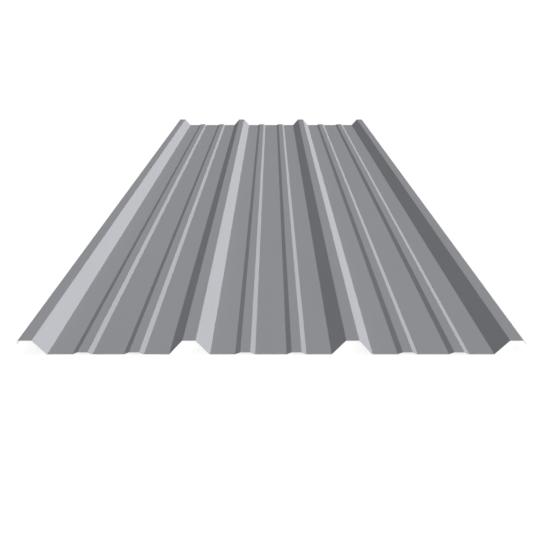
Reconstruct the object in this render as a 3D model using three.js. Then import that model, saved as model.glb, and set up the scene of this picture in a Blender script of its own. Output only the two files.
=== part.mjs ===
// Roll-formed trapezoidal steel sheet for roofs and walls.
//
// The sheet is one strip of painted steel. It has tall trapezoidal ribs at an even pitch, a flat pan
// between each two of them, and low stiffening ribs in every pan. The two outer ribs keep their full
// top and end in a short lip instead of a flank. The overlap lip slopes like a flank, so it lies over
// the outer rib of the next sheet. The underlap rib's top reaches a little further out, and its lip is
// steeper, so it stays clear inside that lap.
//
// Units are millimetres. X runs across the sheet, Y along its ribs and Z up. The sheet lies flat on
// its pans. The origin is on their underside, at the middle of the sheet's length and overall width.

import * as THREE from "three";

// Driving dimensions. Widths and heights of the profile are taken between the sharp corners of the
// upper face, before the folds are rounded.

const SHEET_LENGTH = 2438.4; // 8 ft along the ribs
const SHEET_THICKNESS = 1; // 20 gauge galvanised steel
const FOLD_RADIUS = 1.5; // inside radius of every fold
const FOLD_FACET_ANGLE = THREE.MathUtils.degToRad(8); // largest turn that one flat facet takes

const RIB_COUNT = 4; // tall ribs, the two outer ones included
const RIB_PITCH = 304.8; // 12 in, centre to centre
const RIB_HEIGHT = 28.6; // 1 1/8 in, above the pan
const RIB_TOP_WIDTH = 25.4; // 1 in
const RIB_BASE_WIDTH = 76.2; // 3 in

const STIFFENER_COUNT = 2; // low ribs in each pan
const STIFFENER_SPACING = 96.4; // centre to centre within a pan
const STIFFENER_HEIGHT = 4; // above the pan
const STIFFENER_TOP_WIDTH = 18.8;
const STIFFENER_BASE_WIDTH = 37.5;

const OVERLAP_LIP_DROP = 8; // the lip on the +X edge, below the rib top
const UNDERLAP_LIP_DROP = 7.5; // the lip on the -X edge, below the rib top
const UNDERLAP_LIP_RUN = 1.5; // how far that lip leans out
const UNDERLAP_TOP_REACH = 1.7; // how much further out the top corner above that lip lies

// Values that follow from them.

const FLANK_RUN = (RIB_BASE_WIDTH - RIB_TOP_WIDTH) / 2;
const OVERLAP_LIP_RUN = (OVERLAP_LIP_DROP * FLANK_RUN) / RIB_HEIGHT; // at the slope of a flank

const paintedSteel = new THREE.MeshStandardMaterial({
  name: "painted_steel",
  color: new THREE.Color().setRGB(139 / 255, 140 / 255, 144 / 255, THREE.SRGBColorSpace),
  roughness: 0.45,
  metalness: 0.3,
});

/** Centres of `count` like features at an even `spacing`, with the row's middle at `middle`. */
function centresInRow(count, spacing, middle) {
  return Array.from({ length: count }, (_, i) => middle + (i - (count - 1) / 2) * spacing);
}

/** The four corners of a trapezoidal rib on the pan, from left to right. */
function trapezoid(centre, baseWidth, topWidth, height) {
  return [
    new THREE.Vector2(centre - baseWidth / 2, 0),
    new THREE.Vector2(centre - topWidth / 2, height),
    new THREE.Vector2(centre + topWidth / 2, height),
    new THREE.Vector2(centre + baseWidth / 2, 0),
  ];
}

/** The low ribs of the pan whose middle is at `panMiddle`. */
function stiffenerCorners(panMiddle) {
  return centresInRow(STIFFENER_COUNT, STIFFENER_SPACING, panMiddle).flatMap((centre) =>
    trapezoid(centre, STIFFENER_BASE_WIDTH, STIFFENER_TOP_WIDTH, STIFFENER_HEIGHT),
  );
}

/**
 * Sharp corners of the upper face across the whole sheet, from the -X edge to the +X edge. Height 0 is
 * the upper face of the pans. The first and last points are the free edges of the two lips.
 */
function profileCorners() {
  const ribCentres = centresInRow(RIB_COUNT, RIB_PITCH, 0);
  const ribs = ribCentres.map((centre) =>
    trapezoid(centre, RIB_BASE_WIDTH, RIB_TOP_WIDTH, RIB_HEIGHT),
  );

  const underlapTopCorner = ribs[0][1];
  underlapTopCorner.x -= UNDERLAP_TOP_REACH;
  ribs[0][0] = new THREE.Vector2(
    underlapTopCorner.x - UNDERLAP_LIP_RUN,
    underlapTopCorner.y - UNDERLAP_LIP_DROP,
  );
  const overlapTopCorner = ribs[RIB_COUNT - 1][2];
  ribs[RIB_COUNT - 1][3] = new THREE.Vector2(
    overlapTopCorner.x + OVERLAP_LIP_RUN,
    overlapTopCorner.y - OVERLAP_LIP_DROP,
  );

  return ribs.flatMap((rib, i) => {
    const panFollows = i < RIB_COUNT - 1;
    return panFollows ? [...rib, ...stiffenerCorners(ribCentres[i] + RIB_PITCH / 2)] : rib;
  });
}

/** The direction 90 degrees to the left of `direction`: upwards, for a line that runs along +X. */
function leftOf(direction) {
  return new THREE.Vector2(-direction.y, direction.x);
}

/**
 * Stations along one rounded fold: points of the upper face, each with its upward normal. A fold that
 * turns down has its inside on the lower face, so its radius on the upper face is larger by the metal.
 */
function foldStations(before, corner, after) {
  const incoming = corner.clone().sub(before).normalize();
  const outgoing = after.clone().sub(corner).normalize();
  const turn = Math.atan2(incoming.cross(outgoing), incoming.dot(outgoing));
  const side = Math.sign(turn); // +1 where the fold turns up, -1 where it turns down
  const radius = side < 0 ? FOLD_RADIUS + SHEET_THICKNESS : FOLD_RADIUS;

  const tangentLength = radius * Math.tan(Math.abs(turn) / 2);
  const firstNormal = leftOf(incoming);
  const centre = corner
    .clone()
    .addScaledVector(incoming, -tangentLength)
    .addScaledVector(firstNormal, side * radius);

  const facets = Math.max(1, Math.ceil(Math.abs(turn) / FOLD_FACET_ANGLE));
  return Array.from({ length: facets + 1 }, (_, i) => {
    const normal = firstNormal.clone().rotateAround(new THREE.Vector2(), (turn * i) / facets);
    return { point: centre.clone().addScaledVector(normal, -side * radius), normal };
  });
}

/** Stations along the whole upper face, with a square-cut free edge at each end. */
function faceStations(corners) {
  const last = corners.length - 1;
  const firstNormal = leftOf(corners[1].clone().sub(corners[0]).normalize());
  const lastNormal = leftOf(corners[last].clone().sub(corners[last - 1]).normalize());
  const folds = corners
    .slice(1, last)
    .flatMap((corner, i) => foldStations(corners[i], corner, corners[i + 2]));
  return [
    { point: corners[0], normal: firstNormal },
    ...folds,
    { point: corners[last], normal: lastNormal },
  ];
}

/** The closed section of the metal: the upper face out, and the lower face, one thickness below, back. */
function sheetSection(corners) {
  const stations = faceStations(corners);
  const upperFace = stations.map(({ point }) => point);
  const lowerFace = stations.map(({ point, normal }) =>
    point.clone().addScaledVector(normal, -SHEET_THICKNESS),
  );
  return new THREE.Shape([...lowerFace, ...upperFace.reverse()]);
}

/** The sheet: its section drawn out along the ribs, set down on its pans about the origin. */
function makeRibbedSheet() {
  const corners = profileCorners();
  const geometry = new THREE.ExtrudeGeometry(sheetSection(corners), {
    depth: SHEET_LENGTH,
    bevelEnabled: false,
  });
  geometry.rotateX(Math.PI / 2); // the section's height becomes Z, and its length runs along -Y

  const sheet = new THREE.Mesh(geometry, paintedSteel);
  sheet.name = "ribbed_sheet";
  const middleOfWidth = (corners[0].x + corners[corners.length - 1].x) / 2;
  sheet.position.set(-middleOfWidth, SHEET_LENGTH / 2, SHEET_THICKNESS);
  return sheet;
}

const corrugatedSheet = new THREE.Group();
corrugatedSheet.add(makeRibbedSheet());

export default corrugatedSheet;
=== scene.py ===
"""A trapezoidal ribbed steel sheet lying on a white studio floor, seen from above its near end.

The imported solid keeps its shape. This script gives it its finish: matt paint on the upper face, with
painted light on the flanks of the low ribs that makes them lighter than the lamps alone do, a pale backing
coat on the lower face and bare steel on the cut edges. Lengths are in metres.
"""

import math

import bpy
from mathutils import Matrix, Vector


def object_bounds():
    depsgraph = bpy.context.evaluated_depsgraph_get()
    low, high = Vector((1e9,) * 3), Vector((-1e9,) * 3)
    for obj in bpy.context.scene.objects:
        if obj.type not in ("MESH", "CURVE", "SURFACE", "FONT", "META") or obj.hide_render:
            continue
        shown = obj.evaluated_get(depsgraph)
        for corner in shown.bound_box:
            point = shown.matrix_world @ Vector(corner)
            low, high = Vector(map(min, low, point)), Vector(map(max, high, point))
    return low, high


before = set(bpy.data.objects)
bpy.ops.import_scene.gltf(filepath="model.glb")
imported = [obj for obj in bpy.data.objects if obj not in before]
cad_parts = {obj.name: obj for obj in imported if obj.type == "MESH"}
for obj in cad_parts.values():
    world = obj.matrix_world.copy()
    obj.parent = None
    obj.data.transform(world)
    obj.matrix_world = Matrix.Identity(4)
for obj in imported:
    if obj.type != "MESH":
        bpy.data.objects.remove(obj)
cad_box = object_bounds()

SHEET = "ribbed_sheet"

# Camera: the picture's side in pixels, the focal length in those pixels, and the camera's place against
# the sheet. The long edges meet a little right of the picture's middle, which the shift takes up.
IMAGE_SIDE_PX = 540
FOCAL_LENGTH_PX = 678.9
PRINCIPAL_OFFSET_PX = 1.24
SENSOR_WIDTH_MM = 36.0
CAMERA_X = -0.0013
CAMERA_DISTANCE = 1.121  # in front of the sheet's near end
CAMERA_HEIGHT = 0.6233
CAMERA_PITCH_DEG = 21.974  # below level

# Light. A horizontal white face of the sheet gets about 1 from all of it together. The key and the fill
# shade the flanks: they light the sheet alone and cast no shadows. The top lamp and the world light the
# floor too, where the sheet's shadow shows.
AMBIENT_LEVEL = 0.15
LAMPS = {
    # name: (level, elevation, azimuth from +X, spread, lights the floor), the angles in degrees
    "key": (6.72, 16.1, -20.0, 10.0, False),
    "fill": (0.89, 40.0, 200.0, 10.0, False),
    "top": (0.25, 80.0, 200.0, 50.0, True),
}

# The sheet's colours, linear. Each varies by two shares: its patches are darker by the first, and its
# streaks lighter by the second.
PAINT = (0.262, 0.266, 0.282)
PAINT_VARIATION = (0.015, 0.02)
BACKING_COAT = (0.42, 0.42, 0.41)
BACKING_VARIATION = (0.04, 0.04)
BARE_STEEL = (0.56, 0.57, 0.58)
STEEL_VARIATION = (0.05, 0.1)
LOW_FLANK_PAINTED_LIGHT = 1.13  # painted light: the low ribs' flanks are painted this much lighter, standing in for stronger light on them

# Its surface. The patterns are noises, with their number of waves a metre along X, Y and Z.
PATCHES = (9.0, 4.0, 9.0)
STREAKS = (420.0, 2.5, 420.0)
ORANGE_PEEL = (800.0, 800.0, 800.0)
ORANGE_PEEL_HEIGHT = 0.00002
OIL_CANNING = (5.0, 1.6, 5.0)
OIL_CANNING_HEIGHT = 0.0008
NOISE_RANGE = (0.3, 0.7)  # nearly all of a noise lies in it
ROUGHNESS_RANGE = (0.52, 0.62)  # across the streaks
METALLIC = 0.04

# Which faces are which, by their normals and places.
LEVEL_MARGIN = 0.02  # a normal's height past which its face is plainly the upper or the lower one
CUT_END_NORMAL = 0.5  # a normal's reach along the ribs past which its face is a cut end
SLIT_EDGE_WIDTH = 0.0007  # across the sheet, of the cut face at each free side edge
LOW_FLANK_SLOPE_DEG = 23.2  # how steep the low ribs' flanks are
LEAN_TOLERANCE = 0.12  # in the sine of that slope

# Floor and background.
WHITE = (1.0, 1.0, 1.0)
FLOOR_ALBEDO = 0.82
FLOOR_GLOW = 0.83  # lifts the lit floor to white, for the background's rays alone
FLOOR_SIDE = 40.0
FLOOR_GAP = 0.0002  # keeps the floor clear of the pans' undersides

# Places of the mix node's colour sockets among its inputs and outputs.
MIX_COLOUR_A = 6
MIX_COLOUR_B = 7
MIX_COLOUR_RESULT = 2


class Nodes:
    """Short calls for building one node tree."""

    def __init__(self, tree):
        self.tree = tree
        tree.nodes.clear()

    def add(self, kind, inputs=None, **settings):
        node = self.tree.nodes.new(kind)
        for name, value in settings.items():
            setattr(node, name, value)
        for socket, value in (inputs or {}).items():
            self.feed(node.inputs[socket], value)
        return node

    def feed(self, socket, value):
        if isinstance(value, bpy.types.NodeSocket):
            self.tree.links.new(value, socket)
        elif isinstance(value, tuple) and len(value) == 3 and socket.type == "RGBA":
            socket.default_value = (*value, 1.0)
        else:
            socket.default_value = value

    def math(self, operation, *values, clamp=False):
        node = self.add("ShaderNodeMath", dict(enumerate(values)), operation=operation, use_clamp=clamp)
        return node.outputs[0]

    def mix(self, factor, a, b):
        """A colour between a and b. The node has sockets of the same names for numbers and vectors, so those
        for colours are told by their places."""
        node = self.add("ShaderNodeMix", data_type="RGBA")
        self.feed(node.inputs["Factor"], factor)
        self.feed(node.inputs[MIX_COLOUR_A], a)
        self.feed(node.inputs[MIX_COLOUR_B], b)
        return node.outputs[MIX_COLOUR_RESULT]

    def ramp(self, value, low, high, out_low=0.0, out_high=1.0):
        inputs = {"Value": value, "From Min": low, "From Max": high, "To Min": out_low, "To Max": out_high}
        return self.add("ShaderNodeMapRange", inputs).outputs["Result"]

    def scale(self, vector, factor):
        node = self.add("ShaderNodeVectorMath", {0: vector, "Scale": factor}, operation="SCALE")
        return node.outputs[0]

    def noise(self, place, waves, detail=2.0):
        """Noise with its own number of waves a metre along each axis."""
        stretched = self.add("ShaderNodeVectorMath", {0: place, 1: waves}, operation="MULTIPLY")
        inputs = {"Vector": stretched.outputs[0], "Scale": 1.0, "Detail": detail}
        return self.add("ShaderNodeTexNoise", inputs).outputs["Fac"]

    def spread(self, noise, out_low, out_high):
        """The noise, spread over the whole range from out_low to out_high."""
        return self.ramp(noise, *NOISE_RANGE, out_low, out_high)

    def bump(self, height, distance, **normal):
        inputs = {"Height": height, "Distance": distance, "Strength": 1.0, **normal}
        return self.add("ShaderNodeBump", inputs).outputs[0]


def new_material(name):
    material = bpy.data.materials.new(name)
    material.use_nodes = True
    return material, Nodes(material.node_tree)


def background_rays(nodes):
    """1 for the rays that show the background: the camera's own, and what gloss reflects or glass passes."""
    path = nodes.add("ShaderNodeLightPath").outputs
    seen = nodes.math("ADD", path["Is Camera Ray"], path["Is Glossy Ray"])
    return nodes.math("ADD", seen, path["Is Transmission Ray"], clamp=True)


def sheet_colour(nodes, place, streaks):
    """Paint on the upper face, with painted light on the low ribs' flanks, backing coat on the lower face
    and bare steel on the cut edges.
    """
    patches = nodes.noise(place, PATCHES)

    def varied(colour, patch_depth, streak_depth):
        """The colour, a little darker in patches and a little lighter along the streaks."""
        patched = nodes.spread(patches, 1.0 - patch_depth, 1.0)
        return nodes.scale(colour, nodes.math("ADD", patched, nodes.spread(streaks, 0.0, streak_depth)))

    across = nodes.add("ShaderNodeSeparateXYZ", {0: place}).outputs["X"]
    geometry = nodes.add("ShaderNodeNewGeometry").outputs
    normal = nodes.add("ShaderNodeSeparateXYZ", {0: geometry["True Normal"]}).outputs

    # Painted light: the low ribs' flanks, found by the lean of their normals, get lighter paint in place of
    # stronger light.
    lean = nodes.math("ABSOLUTE", normal["X"])
    is_low_flank = nodes.math("COMPARE", lean, math.sin(math.radians(LOW_FLANK_SLOPE_DEG)), LEAN_TOLERANCE)
    painted_flank_light = nodes.ramp(is_low_flank, 0.0, 1.0, 1.0, LOW_FLANK_PAINTED_LIGHT)
    paint = nodes.scale(varied(PAINT, *PAINT_VARIATION), painted_flank_light)
    backing = varied(BACKING_COAT, *BACKING_VARIATION)
    steel = varied(BARE_STEEL, *STEEL_VARIATION)

    is_lower_face = nodes.ramp(normal["Z"], LEVEL_MARGIN, -LEVEL_MARGIN)
    is_cut_end = nodes.math("GREATER_THAN", nodes.math("ABSOLUTE", normal["Y"]), CUT_END_NORMAL)
    is_at_side = nodes.math("GREATER_THAN", nodes.math("ABSOLUTE", across), cad_box[1][0] - SLIT_EDGE_WIDTH)
    is_slit_edge = nodes.math("MULTIPLY", is_at_side, is_lower_face)
    coated = nodes.mix(is_lower_face, paint, backing)
    return nodes.mix(nodes.math("MAXIMUM", is_cut_end, is_slit_edge), coated, steel)


def sheet_material():
    material, nodes = new_material("painted_sheet_steel")
    place = nodes.add("ShaderNodeTexCoord").outputs["Object"]
    streaks = nodes.noise(place, STREAKS)
    slow_waves = nodes.bump(nodes.noise(place, OIL_CANNING, detail=1.0), OIL_CANNING_HEIGHT)
    surface = nodes.bump(nodes.noise(place, ORANGE_PEEL, detail=1.0), ORANGE_PEEL_HEIGHT, Normal=slow_waves)
    inputs = {
        "Base Color": sheet_colour(nodes, place, streaks),
        "Roughness": nodes.spread(streaks, *ROUGHNESS_RANGE),
        "Normal": surface,
    }
    shader = nodes.add("ShaderNodeBsdfPrincipled", inputs)
    shader.inputs["Metallic"].default_value = METALLIC
    shader.inputs["Specular IOR Level"].default_value = 0.0
    nodes.add("ShaderNodeOutputMaterial", {"Surface": shader.outputs[0]})
    return material


def floor_material():
    """Pale and lit by the top lamp and the world, so that it keeps the sheet's shadow. A glow that only the
    background's rays see makes up what the light lacks to white."""
    material, nodes = new_material("studio_floor")
    diffuse = nodes.add("ShaderNodeBsdfDiffuse", {"Color": (FLOOR_ALBEDO,) * 3})
    strength = nodes.math("MULTIPLY", background_rays(nodes), FLOOR_GLOW)
    glow = nodes.add("ShaderNodeEmission", {"Color": WHITE, "Strength": strength})
    both = nodes.add("ShaderNodeAddShader", {0: diffuse.outputs[0], 1: glow.outputs[0]})
    nodes.add("ShaderNodeOutputMaterial", {"Surface": both.outputs[0]})
    return material


def add_floor():
    half = FLOOR_SIDE / 2
    mesh = bpy.data.meshes.new("floor")
    corners = [(x, y, -FLOOR_GAP) for x, y in ((-half, -half), (half, -half), (half, half), (-half, half))]
    mesh.from_pydata(corners, [], [(0, 1, 2, 3)])
    mesh.materials.append(floor_material())
    floor = bpy.data.objects.new("floor", mesh)
    bpy.context.scene.collection.objects.link(floor)


def light_world():
    world = bpy.data.worlds.new("studio")
    world.use_nodes = True
    bpy.context.scene.world = world
    nodes = Nodes(world.node_tree)
    strength = nodes.ramp(background_rays(nodes), 0.0, 1.0, AMBIENT_LEVEL, 1.0)
    background = nodes.add("ShaderNodeBackground", {"Color": WHITE, "Strength": strength})
    nodes.add("ShaderNodeOutputWorld", {"Surface": background.outputs[0]})


def add_sun(name, level, elevation_deg, azimuth_deg, spread_deg, lit_alone):
    """A lamp whose light comes from the given direction; azimuth 0 is +X, and 90 degrees is +Y. If
    lit_alone is given, the lamp lights only what is in that collection, and casts no shadows."""
    lamp = bpy.data.lights.new(name, "SUN")
    lamp.energy = level
    lamp.angle = math.radians(spread_deg)
    lamp.use_shadow = lit_alone is None
    sun = bpy.data.objects.new(name, lamp)
    sun.rotation_euler = (0, math.radians(90 - elevation_deg), math.radians(azimuth_deg))
    sun.light_linking.receiver_collection = lit_alone
    bpy.context.scene.collection.objects.link(sun)


def add_lights():
    light_world()
    sheet_alone = bpy.data.collections.new("sheet_alone")
    sheet_alone.objects.link(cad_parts[SHEET])
    for name, (*aim, lights_floor) in LAMPS.items():
        add_sun(name, *aim, None if lights_floor else sheet_alone)


def add_camera():
    camera_data = bpy.data.cameras.new("camera")
    camera_data.sensor_fit = "HORIZONTAL"
    camera_data.sensor_width = SENSOR_WIDTH_MM
    camera_data.lens = FOCAL_LENGTH_PX / IMAGE_SIDE_PX * SENSOR_WIDTH_MM
    camera_data.shift_x = -PRINCIPAL_OFFSET_PX / IMAGE_SIDE_PX
    camera = bpy.data.objects.new("camera", camera_data)
    near_end = cad_box[0][1]
    camera.location = (CAMERA_X, near_end - CAMERA_DISTANCE, CAMERA_HEIGHT)
    camera.rotation_euler = (math.radians(90 - CAMERA_PITCH_DEG), 0, 0)
    bpy.context.scene.collection.objects.link(camera)
    bpy.context.scene.camera = camera


def finish_sheet():
    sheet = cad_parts[SHEET]
    sheet.data.materials.clear()
    sheet.data.materials.append(sheet_material())


bpy.context.scene.view_settings.view_transform = "Standard"
add_camera()
add_lights()
add_floor()
finish_sheet()
